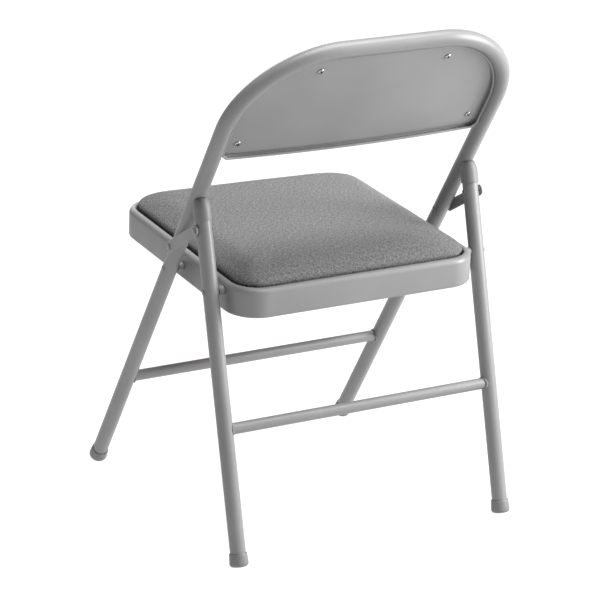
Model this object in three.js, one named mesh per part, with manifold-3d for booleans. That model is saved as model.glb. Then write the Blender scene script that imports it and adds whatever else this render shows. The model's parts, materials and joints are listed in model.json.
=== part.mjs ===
// A tubular steel folding chair with a padded seat and backrest, open for sitting.
// Millimetres, +Z up. The sitter faces -Y, and +X is the sitter's left.
// The origin is on the floor, under the middle of the chair's width and depth.
import * as THREE from "three";
import { mergeVertices } from "three/addons/utils/BufferGeometryUtils.js";
import Module from "manifold-3d";

const wasm = await Module();
wasm.setup();

const { degToRad } = THREE.MathUtils;
const X_AXIS = new THREE.Vector3(1, 0, 0);
const Y_AXIS = new THREE.Vector3(0, 1, 0);
const Z_AXIS = new THREE.Vector3(0, 0, 1);
const SIDES = [
  { side: 1, label: "left" },
  { side: -1, label: "right" },
];

// ---- Driving dimensions ----

const GAP = 0.3; // between pieces that touch on the real chair

// Tubes
const TUBE_RADIUS = 11.8;
const TUBE_WALL = 1.2;
const BRACE_RADIUS = 8.6;
const BRACE_WALL = 1;
const TUBE_FACETS = 24;
const BRACE_FACETS = 20;

// Stance of the open chair
const HALF_TRACK = 225; // middle of the chair to a leg's axis
const FOOT_SPREAD = 511; // front foot to rear foot, on the floor
const FEET_FORWARD = 24.9; // the feet's middle stands this far in front of the origin
const FRONT_LEAN = degToRad(36); // front legs, leaning back
const REAR_LEAN = degToRad(12.2); // rear legs, leaning forward

// Back frame, measured along its legs from the floor
const ARCH_START = 798.5;
const ARCH_RADIUS = 146;
const ARCH_STEPS = 10; // in each of the arch's two corners
const FRONT_BRACE_AT = 220;

// Rear legs, measured along them from the floor
const REAR_LEG_TOP = 526;
const REAR_BRACE_AT = 203.5;
const CAP_BOTTOM = 511;
const CAP_TOP = 544;

// Pivots, each measured along its leg from the floor
const SEAT_PIVOT_ON_FRAME = 493;
const LINK_PIVOT_ON_FRAME = 544.5;
const SEAT_PIVOT_ON_LEG = 407;
const LINK_PIVOT_ON_LEG = 497.5;

// Foot tips and rear leg caps
const TIP_RADIUS = 13.2; // of the caps, and of the tips' top edge
const TIP_FLARE = 14.2; // the tips' radius low down
const TIP_ROUND = 4; // the rounding of their bottom edge
const TIP_LENGTH = 20;
const TIP_FLOOR = 4.5; // its thickness under the tube's end
const SOLE_DEPTH = 0.9; // worn off the rounded edge, where the tip stands on the floor
const SADDLE_CLEARANCE = 0.5; // cap to the back frame it rests on

// Rivets, their spacers and the links
const RIVET_RADIUS = 3.2;
const RIVET_HEAD_RADIUS = 5;
const RIVET_HEAD_HEIGHT = 1.6;
const SPACER_RADIUS = 6.5;
const WASHER_HEIGHT = 1.6;
const LINK_HALF_WIDTH = 8.4;
const LINK_THICKNESS = 2.2;
const ROUND_FACETS = 12; // on rivets, screws and their holes

// Seat pan, in a frame at the seat's front pivot
const SEAT_TILT = degToRad(5); // rear edge low
const PAN_HALF_WIDTH = 204.5;
const PAN_FRONT = -230;
const PAN_REAR = 187.6;
const PAN_BOTTOM = -21.6;
const PAN_TOP = 23.8;
const PAN_CORNER = 50;
const PAN_SHEET = 1.5;
const PAN_RIM_ROUND = 9;
const RIM_WIDTH = 11; // from the pan's outside to the well that holds the cushion
const WELL_DEPTH = 18;
const LEDGE_INSET = 31; // the ledge under the seat board reaches in this far
const HEM_INSET = 7;
const CORNER_STEPS = 8; // in each rounded corner

// Seat board and cushion
const BOARD_THICKNESS = 6;
const BOARD_INSET = 12.5;
const CUSHION_INSET = 14.5;
const CUSHION_CROWN = 20; // above the pan's rim
const CUSHION_ROUND = 15;
const SEAT_SCREW_INSET = 22;
const SEAT_SCREW_FRONT = -150;
const SEAT_SCREW_REAR = 110;

// Backrest, in the plane of the back frame: X across, Z up along the legs, +Y to the rear
const PANEL_BOTTOM = 736.5;
const PANEL_SHEET = 1.2;
const PANEL_EDGE_Y = -3; // rear face at the sides
const PANEL_BOW = 5.5; // how far the middle stands behind the sides
const PANEL_RIM = 7; // height of the rim turned back round the panel
const PANEL_CHAMFER = 7; // at the two lower corners
const BACK_BOARD_THICKNESS = 5;
const BACK_BOARD_INSET = 14;
const BACK_PAD_THICKNESS = 20;
const BACK_PAD_INSET = 9;
const BACK_PAD_ROUND = 8;
const BOW_STEPS = 16;
const LOWER_SCREWS = { x: 191, z: 764 };
const UPPER_SCREWS = { x: 103, z: 905 };

// Screws
const SCREW_RADIUS = 2;
const SCREW_HEAD_RADIUS = 4.2;
const SCREW_HEAD_HEIGHT = 1.9;
const SCREW_BITE = 4; // into a board

// ---- Materials ----

const paint = new THREE.MeshStandardMaterial({
  color: 0x8c8c8c,
  roughness: 0.5,
  metalness: 0.2,
});
const plastic = new THREE.MeshStandardMaterial({ color: 0x868686, roughness: 0.6 });
const fabric = new THREE.MeshStandardMaterial({ color: 0x757575, roughness: 0.95 });
const bright = new THREE.MeshStandardMaterial({
  color: 0xb8b8b8,
  roughness: 0.25,
  metalness: 1,
});
const board = new THREE.MeshStandardMaterial({ color: 0x9a7b58, roughness: 0.8 });

// ---- Solids ----

// A closed geometry as a solid that can be cut and joined.
function solidOf(geometry) {
  const bare = geometry.index ? geometry.toNonIndexed() : geometry.clone();
  bare.deleteAttribute("normal");
  bare.deleteAttribute("uv");
  const merged = mergeVertices(bare, 1e-3);
  const corners = [];
  for (let i = 0; i < merged.index.count; i += 3) {
    const [a, b, c] = merged.index.array.slice(i, i + 3);
    if (a !== b && b !== c && c !== a) corners.push(a, b, c);
  }
  const mesh = new wasm.Mesh({
    numProp: 3,
    vertProperties: new Float32Array(merged.attributes.position.array),
    triVerts: new Uint32Array(corners),
  });
  return new wasm.Manifold(mesh);
}

function geometryOf(solid) {
  const { vertProperties, triVerts } = solid.getMesh();
  const geometry = new THREE.BufferGeometry();
  geometry.setAttribute("position", new THREE.BufferAttribute(vertProperties, 3));
  geometry.setIndex(new THREE.BufferAttribute(triVerts, 1));
  geometry.computeVertexNormals();
  return geometry;
}

function cut(body, ...tools) {
  const solid = tools.reduce((rest, tool) => rest.subtract(solidOf(tool)), solidOf(body));
  return geometryOf(solid);
}

function join(...bodies) {
  return geometryOf(bodies.map(solidOf).reduce((all, body) => all.add(body)));
}

function common(first, second) {
  return geometryOf(solidOf(first).intersect(solidOf(second)));
}

// ---- Shapes ----

function circle(radius) {
  return new THREE.Shape().absarc(0, 0, radius, 0, 2 * Math.PI, false);
}

// A shape with a hole in it, both given as shapes.
function ring(outer, inner) {
  const shape = outer.clone();
  shape.holes.push(inner);
  return shape;
}

function tubeSection(radius, wall) {
  return ring(circle(radius), circle(radius - wall));
}

// Arcs take an even number of steps, whatever their angle.
function extruded(shape, depth, arcSteps, options = {}) {
  const curveSegments = arcSteps / 2;
  const settings = { depth, curveSegments, bevelEnabled: false, ...options };
  return new THREE.ExtrudeGeometry(shape, settings);
}

// A revolved solid round +Z; the profile holds [radius, height] pairs.
function revolved(profile, facets = ROUND_FACETS) {
  const points = profile.map(([radius, height]) => new THREE.Vector2(radius, height));
  return new THREE.LatheGeometry(points, facets).rotateX(Math.PI / 2);
}

// A revolved solid whose heights run outwards along X on one side of the chair.
function revolvedOutwards(profile, side, facets = ROUND_FACETS) {
  const points = profile.map(([radius, height]) => new THREE.Vector2(radius, height));
  return new THREE.LatheGeometry(points, facets).rotateZ((-side * Math.PI) / 2);
}

// A hole's tool along X, from one distance to another on one side of the chair.
function crossDrill(radius, from, to, side, y = 0, z = 0) {
  const profile = [[0, from], [radius, from], [radius, to], [0, to]];
  return revolvedOutwards(profile, side).translate(0, y, z);
}

function cylinderUp(radius, from, to, facets) {
  const profile = [[0, from], [radius, from], [radius, to], [0, to]];
  return revolved(profile, facets);
}

// The seat's rounded outline, a given distance inside the pan's outside.
function seatOutline(inset) {
  const radius = PAN_CORNER - inset;
  const x = PAN_HALF_WIDTH - inset - radius;
  const front = PAN_FRONT + inset + radius;
  const rear = PAN_REAR - inset - radius;
  return new THREE.Shape()
    .absarc(x, rear, radius, 0, Math.PI / 2, false)
    .absarc(-x, rear, radius, Math.PI / 2, Math.PI, false)
    .absarc(-x, front, radius, Math.PI, 1.5 * Math.PI, false)
    .absarc(x, front, radius, 1.5 * Math.PI, 2 * Math.PI, false)
    .closePath();
}

// The backrest's outline, a given distance inside the arch's inner face.
function backOutline(inset, chamfer = 0) {
  const clear = TUBE_RADIUS + GAP + inset;
  const radius = ARCH_RADIUS - clear;
  const arcX = HALF_TRACK - ARCH_RADIUS;
  const halfWidth = HALF_TRACK - clear;
  const bottom = PANEL_BOTTOM + inset;
  const outline = new THREE.Shape();
  outline.moveTo(halfWidth, bottom + chamfer);
  outline.lineTo(halfWidth, ARCH_START);
  outline.absarc(arcX, ARCH_START, radius, 0, Math.PI / 2, false);
  outline.absarc(-arcX, ARCH_START, radius, Math.PI / 2, Math.PI, false);
  outline.lineTo(-halfWidth, bottom + chamfer);
  if (chamfer > 0) {
    outline.lineTo(-halfWidth + chamfer, bottom);
    outline.lineTo(halfWidth - chamfer, bottom);
  }
  return outline.closePath();
}

// How far the backrest panel's rear face stands behind the frame's own plane.
function panelY(x) {
  const halfWidth = HALF_TRACK - TUBE_RADIUS;
  return PANEL_EDGE_Y + PANEL_BOW * (1 - (x / halfWidth) ** 2);
}

// A sheet that follows the backrest's bow, between two distances behind its rear face.
function bowedSlab(from, to) {
  const rear = [];
  const front = [];
  for (let i = 0; i <= BOW_STEPS; i++) {
    const x = HALF_TRACK * ((2 * i) / BOW_STEPS - 1);
    front.push(new THREE.Vector2(x, panelY(x) + from));
    rear.unshift(new THREE.Vector2(x, panelY(x) + to));
  }
  const height = ARCH_START + ARCH_RADIUS - PANEL_BOTTOM;
  const slab = extruded(new THREE.Shape([...front, ...rear]), height, 2);
  return slab.translate(0, 0, PANEL_BOTTOM);
}

// A flat shape in the frame's plane, made thick along Y between two distances.
function plateAcross(shape, from, to, options = {}) {
  const plate = extruded(shape, to - from, ARCH_STEPS, options);
  const stand = new THREE.Matrix4().makeBasis(X_AXIS, Z_AXIS, Y_AXIS.clone().negate());
  return plate.applyMatrix4(stand).translate(0, to, 0);
}

// ---- Groups: each has its own frame ----

const chair = new THREE.Group();

// The back frame's plane: origin between the front feet, +Z up the legs, +Y to the rear.
const backFrame = new THREE.Group();
backFrame.position.set(0, -FEET_FORWARD - FOOT_SPREAD / 2, 0);
backFrame.rotation.x = -FRONT_LEAN;

// The rear legs' plane: origin between the rear feet, +Z up the legs.
const rearLegs = new THREE.Group();
rearLegs.position.set(0, -FEET_FORWARD + FOOT_SPREAD / 2, 0);
rearLegs.rotation.x = REAR_LEAN;

chair.add(backFrame, rearLegs);
chair.updateMatrixWorld(true);

const seatPivot = backFrame.localToWorld(new THREE.Vector3(0, 0, SEAT_PIVOT_ON_FRAME));
const linkPivot = backFrame.localToWorld(new THREE.Vector3(0, 0, LINK_PIVOT_ON_FRAME));
const legSeatPivot = rearLegs.localToWorld(new THREE.Vector3(0, 0, SEAT_PIVOT_ON_LEG));
const legLinkPivot = rearLegs.localToWorld(new THREE.Vector3(0, 0, LINK_PIVOT_ON_LEG));

// The seat: origin on its front pivot, +Y along it to the rear.
const seat = new THREE.Group();
seat.position.copy(seatPivot);
seat.rotation.x = -SEAT_TILT;

// The links: origin on their pivot on the back frame, +Y towards the rear leg.
const linkReach = legLinkPivot.clone().sub(linkPivot);
const linkLength = linkReach.length();
const links = new THREE.Group();
links.position.copy(linkPivot);
links.rotation.x = Math.atan2(linkReach.z, linkReach.y);

chair.add(seat, links);
chair.updateMatrixWorld(true);

function piece(group, name, geometry, material) {
  const mesh = new THREE.Mesh(geometry, material);
  mesh.name = name;
  group.add(mesh);
}

// Turns a geometry given in one group's frame into another's.
function carried(geometry, from, to) {
  const matrix = to.matrixWorld.clone().invert().multiply(from.matrixWorld);
  return geometry.applyMatrix4(matrix);
}

// ---- Places along the legs and across the chair ----

// How far up a leg's axis its foot tip ends: the tip's rounded edge just meets the floor.
function tipBottom(lean) {
  const rise = TIP_ROUND - SOLE_DEPTH + (TIP_FLARE - TIP_ROUND) * Math.sin(lean);
  return rise / Math.cos(lean) - TIP_ROUND;
}

const FRONT_TIP_BOTTOM = tipBottom(FRONT_LEAN);
const REAR_TIP_BOTTOM = tipBottom(REAR_LEAN);
const FRONT_TUBE_END = FRONT_TIP_BOTTOM + TIP_FLOOR;
const REAR_TUBE_END = REAR_TIP_BOTTOM + TIP_FLOOR;


const PAN_INSIDE = PAN_HALF_WIDTH - PAN_SHEET;
const TUBE_INSIDE = HALF_TRACK - TUBE_RADIUS;
const TUBE_OUTSIDE = HALF_TRACK + TUBE_RADIUS;
const WASHER_OUTSIDE = TUBE_OUTSIDE + GAP + WASHER_HEIGHT;
const LINK_INSIDE = WASHER_OUTSIDE + GAP;
const LINK_OUTSIDE = LINK_INSIDE + LINK_THICKNESS;

// ---- Tubes ----

// A path through fixed stations, so that a straight stretch takes a single step.
class StationPath extends THREE.Curve {
  constructor(stations) {
    super();
    this.stations = stations;
  }

  station(share) {
    return this.stations[Math.round(share * (this.stations.length - 1))];
  }

  getPointAt(share) {
    return this.station(share).point.clone();
  }

  getTangentAt(share) {
    return this.station(share).tangent.clone();
  }
}

// Up one leg, over the arch and down the other leg.
function archPath() {
  const stations = [];
  const add = (x, z, angle) =>
    stations.push({
      point: new THREE.Vector3(x, 0, z),
      tangent: new THREE.Vector3(-Math.sin(angle), 0, Math.cos(angle)),
    });
  const arcX = HALF_TRACK - ARCH_RADIUS;
  add(HALF_TRACK, FRONT_TUBE_END, 0);
  for (const [centre, start] of [[arcX, 0], [-arcX, Math.PI / 2]]) {
    for (let i = 0; i <= ARCH_STEPS; i++) {
      const angle = start + ((Math.PI / 2) * i) / ARCH_STEPS;
      const x = centre + ARCH_RADIUS * Math.cos(angle);
      add(x, ARCH_START + ARCH_RADIUS * Math.sin(angle), angle);
    }
  }
  add(-HALF_TRACK, FRONT_TUBE_END, Math.PI);
  return new StationPath(stations);
}

function pivotHoles(side, ...places) {
  return places.map((z) =>
    crossDrill(RIVET_RADIUS + GAP, TUBE_INSIDE - 1, TUBE_OUTSIDE + 1, side, 0, z),
  );
}

function backFrameTube() {
  const path = archPath();
  const tube = new THREE.ExtrudeGeometry(tubeSection(TUBE_RADIUS, TUBE_WALL), {
    steps: path.stations.length - 1,
    curveSegments: TUBE_FACETS / 2,
    extrudePath: path,
  });
  const holes = SIDES.flatMap(({ side }) =>
    pivotHoles(side, SEAT_PIVOT_ON_FRAME, LINK_PIVOT_ON_FRAME),
  );
  return cut(tube, ...holes);
}

// A brace between two legs, its ends shaped to the round of the tubes.
function brace(height) {
  const section = tubeSection(BRACE_RADIUS, BRACE_WALL);
  const bar = extruded(section, 2 * HALF_TRACK, BRACE_FACETS);
  bar.translate(0, 0, -HALF_TRACK).rotateY(Math.PI / 2).translate(0, 0, height);
  const reach = 2 * BRACE_RADIUS;
  const legs = SIDES.map(({ side }) =>
    cylinderUp(TUBE_RADIUS + GAP, height - reach, height + reach, TUBE_FACETS).translate(
      side * HALF_TRACK,
      0,
      0,
    ),
  );
  return cut(bar, ...legs);
}

function rearLeg(side) {
  const section = tubeSection(TUBE_RADIUS, TUBE_WALL);
  const tube = extruded(section, REAR_LEG_TOP - REAR_TUBE_END, TUBE_FACETS);
  tube.translate(side * HALF_TRACK, 0, REAR_TUBE_END);
  return cut(tube, ...pivotHoles(side, SEAT_PIVOT_ON_LEG, LINK_PIVOT_ON_LEG));
}

// ---- Foot tips and caps ----

// A tip closed below and open above, cut level with the floor.
function footTip(side, group, bottom) {
  const top = bottom + TIP_LENGTH;
  const bore = TUBE_RADIUS + GAP;
  const floor = bottom + TIP_FLOOR - GAP;
  const profile = [
    [0, bottom],
    [TIP_FLARE - TIP_ROUND, bottom],
    [TIP_FLARE - 0.5 * TIP_ROUND, bottom + 0.134 * TIP_ROUND],
    [TIP_FLARE - 0.134 * TIP_ROUND, bottom + 0.5 * TIP_ROUND],
    [TIP_FLARE, bottom + TIP_ROUND],
    [TIP_RADIUS, top - 1],
    [TIP_RADIUS - 0.6, top],
    [bore, top],
    [bore, floor],
    [0, floor],
  ];
  const tip = revolved(profile, TUBE_FACETS).translate(side * HALF_TRACK, 0, 0);
  const ground = new THREE.BoxGeometry(100, 100, 50).translate(side * HALF_TRACK, 0, -25);
  const here = new THREE.Group();
  here.position.copy(group.position);
  here.updateMatrixWorld(true);
  return cut(tip, carried(ground, here, group));
}

// A cap over the rear leg's top, hollowed in front where it rests on the back frame.
function rearLegCap(side) {
  const bore = TUBE_RADIUS + GAP;
  const profile = [
    [0, REAR_LEG_TOP + GAP],
    [bore, REAR_LEG_TOP + GAP],
    [bore, CAP_BOTTOM],
    [TIP_RADIUS, CAP_BOTTOM],
    [TIP_RADIUS, CAP_TOP - 5],
    [TIP_RADIUS - 1.4, CAP_TOP - 1.6],
    [TIP_RADIUS - 5, CAP_TOP],
    [0, CAP_TOP],
  ];
  const cap = revolved(profile, TUBE_FACETS).translate(side * HALF_TRACK, 0, 0);
  const saddle = cylinderUp(TUBE_RADIUS + SADDLE_CLEARANCE, 500, 800, TUBE_FACETS);
  saddle.translate(side * HALF_TRACK, 0, 0);
  const ahead = new THREE.BoxGeometry(60, 60, 300);
  ahead.translate(side * HALF_TRACK, 2.5 - 30, 650);
  return cut(cap, carried(saddle, backFrame, rearLegs), carried(ahead, backFrame, rearLegs));
}

// ---- Rivets, spacers, washers and links ----

// A domed head whose flat side is at one height and whose top points outwards or inwards.
function headProfile(flat, way) {
  return [
    [RIVET_HEAD_RADIUS, flat],
    [RIVET_HEAD_RADIUS, flat + way * 0.4 * RIVET_HEAD_HEIGHT],
    [0.6 * RIVET_HEAD_RADIUS, flat + way * RIVET_HEAD_HEIGHT],
    [0, flat + way * RIVET_HEAD_HEIGHT],
  ];
}

// A rivet through everything between two distances from the middle plane.
function rivet(side, from, to, y = 0, z = 0) {
  const inner = headProfile(from - GAP, -1).reverse();
  const outer = headProfile(to + GAP, 1);
  const shank = [[RIVET_RADIUS, from - GAP], [RIVET_RADIUS, to + GAP]];
  return revolvedOutwards([...inner, ...shank, ...outer], side).translate(0, y, z);
}

// The outer part of a link's rear rivet: it turns with the link.
function rivetHead(side, from, to, y) {
  const profile = [[0, from], [RIVET_RADIUS, from], [RIVET_RADIUS, to + GAP]];
  const outer = headProfile(to + GAP, 1);
  return revolvedOutwards([...profile, ...outer], side).translate(0, y, 0);
}

// The inner part of a link's rear rivet: it stays in the rear leg.
function rivetTail(side, from, to, z) {
  const inner = headProfile(from - GAP, -1).reverse();
  const shank = [[RIVET_RADIUS, from - GAP], [RIVET_RADIUS, to], [0, to]];
  return revolvedOutwards([...inner, ...shank], side).translate(0, 0, z);
}

// A collar round a rivet.
function collar(side, from, to, y = 0, z = 0) {
  const bore = RIVET_RADIUS + GAP;
  const corners = [[bore, from], [SPACER_RADIUS, from], [SPACER_RADIUS, to], [bore, to]];
  const profile = [...corners, corners[0]];
  return revolvedOutwards(profile, side).translate(0, y, z);
}

function link(side) {
  const plate = new THREE.Shape()
    .absarc(0, 0, LINK_HALF_WIDTH, 0.5 * Math.PI, 1.5 * Math.PI, false)
    .absarc(linkLength, 0, LINK_HALF_WIDTH, -0.5 * Math.PI, 0.5 * Math.PI, false)
    .closePath();
  for (const along of [0, linkLength]) {
    plate.holes.push(
      new THREE.Path().absarc(along, 0, RIVET_RADIUS + GAP, 0, 2 * Math.PI, false),
    );
  }
  const turn = new THREE.Matrix4().makeBasis(Y_AXIS, Z_AXIS, X_AXIS);
  const start = side > 0 ? LINK_INSIDE : -LINK_OUTSIDE;
  return extruded(plate, LINK_THICKNESS, 12).applyMatrix4(turn).translate(start, 0, 0);
}

// ---- Seat ----

function seatPan(rearPivot) {
  const overhang = 2 * PAN_RIM_ROUND; // below the pan, cut away again
  const shell = (inset, round) => {
    const body = extruded(
      seatOutline(inset),
      PAN_TOP - inset - PAN_BOTTOM + overhang - 2 * round,
      CORNER_STEPS,
      {
        bevelEnabled: true,
        bevelThickness: round,
        bevelSize: round,
        bevelOffset: -round,
        bevelSegments: 4,
      },
    );
    return body.translate(0, 0, PAN_BOTTOM - overhang + round);
  };
  const band = (outer, inner, from, to) =>
    extruded(ring(seatOutline(outer), seatOutline(inner)), to - from, CORNER_STEPS).translate(
      0,
      0,
      from,
    );
  const under = new THREE.BoxGeometry(600, 600, 100).translate(0, 0, PAN_BOTTOM - 50);
  const well = extruded(seatOutline(RIM_WIDTH), 60, CORNER_STEPS).translate(0, 0, PAN_TOP - 30);
  const skin = cut(shell(0, PAN_RIM_ROUND), shell(PAN_SHEET, PAN_RIM_ROUND - PAN_SHEET), under, well);
  const ledge = PAN_TOP - WELL_DEPTH;
  const wellInset = RIM_WIDTH - PAN_SHEET;
  const pan = join(
    skin,
    band(wellInset, RIM_WIDTH, ledge - PAN_SHEET, PAN_TOP - PAN_SHEET / 2),
    band(wellInset, LEDGE_INSET, ledge - PAN_SHEET, ledge),
    band(PAN_SHEET / 2, HEM_INSET, PAN_BOTTOM, PAN_BOTTOM + PAN_SHEET),
  );
  const drills = SIDES.flatMap(({ side }) => {
    const across = [PAN_INSIDE - 2, PAN_HALF_WIDTH + 2, side];
    return [
      crossDrill(RIVET_RADIUS + GAP, ...across),
      crossDrill(RIVET_RADIUS + GAP, ...across, rearPivot.y, rearPivot.z),
    ];
  });
  const screwHoles = seatScrewPlaces().map(({ x, y }) =>
    cylinderUp(SCREW_RADIUS + GAP, ledge - 5, ledge + 5, ROUND_FACETS).translate(x, y, 0),
  );
  return cut(pan, ...drills, ...screwHoles);
}

function seatScrewPlaces() {
  const x = PAN_HALF_WIDTH - SEAT_SCREW_INSET;
  return [
    { x, y: SEAT_SCREW_FRONT },
    { x: -x, y: SEAT_SCREW_FRONT },
    { x, y: SEAT_SCREW_REAR },
    { x: -x, y: SEAT_SCREW_REAR },
  ];
}

const SEAT_BOARD_BOTTOM = PAN_TOP - WELL_DEPTH + GAP;
const SEAT_BOARD_TOP = SEAT_BOARD_BOTTOM + BOARD_THICKNESS;

function seatBoard() {
  const plate = extruded(seatOutline(BOARD_INSET), BOARD_THICKNESS, CORNER_STEPS);
  plate.translate(0, 0, SEAT_BOARD_BOTTOM);
  const pilots = seatScrewPlaces().map(({ x, y }) =>
    cylinderUp(
      SCREW_RADIUS + GAP,
      SEAT_BOARD_BOTTOM - 1,
      SEAT_BOARD_BOTTOM + SCREW_BITE + GAP,
      ROUND_FACETS,
    ).translate(x, y, 0),
  );
  return cut(plate, ...pilots);
}

function seatCushion() {
  const bottom = SEAT_BOARD_TOP + GAP;
  const top = PAN_TOP + CUSHION_CROWN;
  const body = extruded(seatOutline(CUSHION_INSET), top - bottom - CUSHION_ROUND, CORNER_STEPS, {
    bevelEnabled: true,
    bevelThickness: CUSHION_ROUND,
    bevelSize: CUSHION_ROUND,
    bevelOffset: -CUSHION_ROUND,
    bevelSegments: 3,
  }).translate(0, 0, bottom);
  const under = new THREE.BoxGeometry(600, 600, 60).translate(0, 0, bottom - 30);
  return cut(body, under);
}

// A pan-head screw: head below its underside, shank upwards.
function screw(shank) {
  const head = SCREW_HEAD_HEIGHT;
  return revolved([
    [0, -head],
    [0.55 * SCREW_HEAD_RADIUS, -head],
    [0.9 * SCREW_HEAD_RADIUS, -0.7 * head],
    [SCREW_HEAD_RADIUS, -0.3 * head],
    [SCREW_HEAD_RADIUS, 0],
    [SCREW_RADIUS, 0],
    [SCREW_RADIUS, shank],
    [0, shank],
  ]);
}

// ---- Backrest ----

function backScrewPlaces() {
  return [LOWER_SCREWS, UPPER_SCREWS].flatMap(({ x, z }) => [{ x, z }, { x: -x, z }]);
}

// Tools for the back screws' holes, between two distances behind the panel's rear face.
function backDrills(from, to) {
  return backScrewPlaces().map(({ x, z }) =>
    cylinderUp(SCREW_RADIUS + GAP, from, to, ROUND_FACETS)
      .rotateX(-Math.PI / 2)
      .translate(x, panelY(x), z),
  );
}

function backrestPanel() {
  const outline = backOutline(0, PANEL_CHAMFER);
  const inside = backOutline(PANEL_SHEET, PANEL_CHAMFER);
  const face = common(plateAcross(outline, -40, 40), bowedSlab(-PANEL_SHEET, 0));
  const rim = common(plateAcross(ring(outline, inside), -40, 40), bowedSlab(-PANEL_SHEET, PANEL_RIM));
  return cut(join(face, rim), ...backDrills(-5, 5));
}

const BACK_BOARD_FRONT = -PANEL_SHEET - GAP - BACK_BOARD_THICKNESS;

function backrestBoard() {
  const plate = plateAcross(backOutline(BACK_BOARD_INSET), -40, 40);
  const slab = bowedSlab(BACK_BOARD_FRONT, -PANEL_SHEET - GAP);
  return cut(common(plate, slab), ...backDrills(-PANEL_SHEET - SCREW_BITE - 2 * GAP, 5));
}

function backrestPad() {
  const rear = BACK_BOARD_FRONT - GAP;
  const front = rear - BACK_PAD_THICKNESS;
  const reach = PANEL_BOW + PANEL_EDGE_Y;
  const block = plateAcross(
    backOutline(BACK_PAD_INSET),
    front + BACK_PAD_ROUND,
    reach + rear + BACK_PAD_ROUND,
    {
      bevelEnabled: true,
      bevelThickness: BACK_PAD_ROUND,
      bevelSize: BACK_PAD_ROUND,
      bevelOffset: -BACK_PAD_ROUND,
      bevelSegments: 3,
    },
  );
  return common(block, bowedSlab(front, rear));
}

// ---- Assembly ----

piece(backFrame, "front_frame", backFrameTube(), paint);
piece(backFrame, "front_brace", brace(FRONT_BRACE_AT), paint);
piece(backFrame, "backrest_panel", backrestPanel(), paint);
piece(backFrame, "backrest_board", backrestBoard(), board);
piece(backFrame, "backrest_pad", backrestPad(), fabric);
backScrewPlaces().forEach(({ x, z }, index) => {
  const lift = 2 * GAP; // the head clears the bowed sheet
  const body = screw(PANEL_SHEET + lift + SCREW_BITE).rotateX(Math.PI / 2);
  const placed = body.translate(x, panelY(x) + lift, z);
  piece(backFrame, "backrest_screw_" + (index + 1), placed, bright);
});

piece(rearLegs, "rear_brace", brace(REAR_BRACE_AT), paint);

const rearPivot = seat.worldToLocal(legSeatPivot.clone());
piece(seat, "seat_pan", seatPan(rearPivot), paint);
piece(seat, "seat_board", seatBoard(), board);
piece(seat, "seat_cushion", seatCushion(), fabric);
seatScrewPlaces().forEach(({ x, y }, index) => {
  const underLedge = PAN_TOP - WELL_DEPTH - PAN_SHEET - GAP;
  const body = screw(PAN_SHEET + 2 * GAP + SCREW_BITE).translate(x, y, underLedge);
  piece(seat, "seat_screw_" + (index + 1), body, bright);
});

for (const { side, label } of SIDES) {
  const along = SEAT_PIVOT_ON_FRAME;
  const linkAlong = LINK_PIVOT_ON_FRAME;
  const between = [PAN_HALF_WIDTH + GAP, TUBE_INSIDE - GAP];
  const washer = [TUBE_OUTSIDE + GAP, WASHER_OUTSIDE];

  piece(backFrame, "front_foot_" + label, footTip(side, backFrame, FRONT_TIP_BOTTOM), plastic);
  piece(backFrame, "seat_front_rivet_" + label, rivet(side, PAN_INSIDE, TUBE_OUTSIDE, 0, along), paint);
  piece(backFrame, "seat_front_spacer_" + label, collar(side, ...between, 0, along), paint);
  piece(backFrame, "link_front_rivet_" + label, rivet(side, TUBE_INSIDE, LINK_OUTSIDE, 0, linkAlong), paint);
  piece(backFrame, "link_front_washer_" + label, collar(side, ...washer, 0, linkAlong), paint);

  piece(rearLegs, "rear_leg_" + label, rearLeg(side), paint);
  piece(rearLegs, "rear_leg_cap_" + label, rearLegCap(side), plastic);
  piece(rearLegs, "rear_foot_" + label, footTip(side, rearLegs, REAR_TIP_BOTTOM), plastic);
  const tail = rivetTail(side, TUBE_INSIDE, TUBE_OUTSIDE, LINK_PIVOT_ON_LEG);
  piece(rearLegs, "link_rear_rivet_tail_" + label, tail, paint);

  const { y, z } = rearPivot;
  piece(seat, "seat_rear_rivet_" + label, rivet(side, PAN_INSIDE, TUBE_OUTSIDE, y, z), paint);
  piece(seat, "seat_rear_spacer_" + label, collar(side, ...between, y, z), paint);

  piece(links, "link_" + label, link(side), paint);
  const head = rivetHead(side, TUBE_OUTSIDE + GAP, LINK_OUTSIDE, linkLength);
  piece(links, "link_rear_rivet_head_" + label, head, paint);
  piece(links, "link_rear_washer_" + label, collar(side, ...washer, linkLength), paint);
}

export default chair;
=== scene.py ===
"""A grey tubular steel folding chair with a padded seat and backrest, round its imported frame.

Shapes are written in millimetres in four local frames: the back frame's plane, the rear
legs' plane, the seat and the links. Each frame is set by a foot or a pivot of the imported
model, and a piece's mesh is turned into metres when it is made.
"""

import json
import math

import bmesh
import bpy
import numpy as np
from mathutils import Matrix, Vector, noise
from mathutils.kdtree import KDTree


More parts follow.
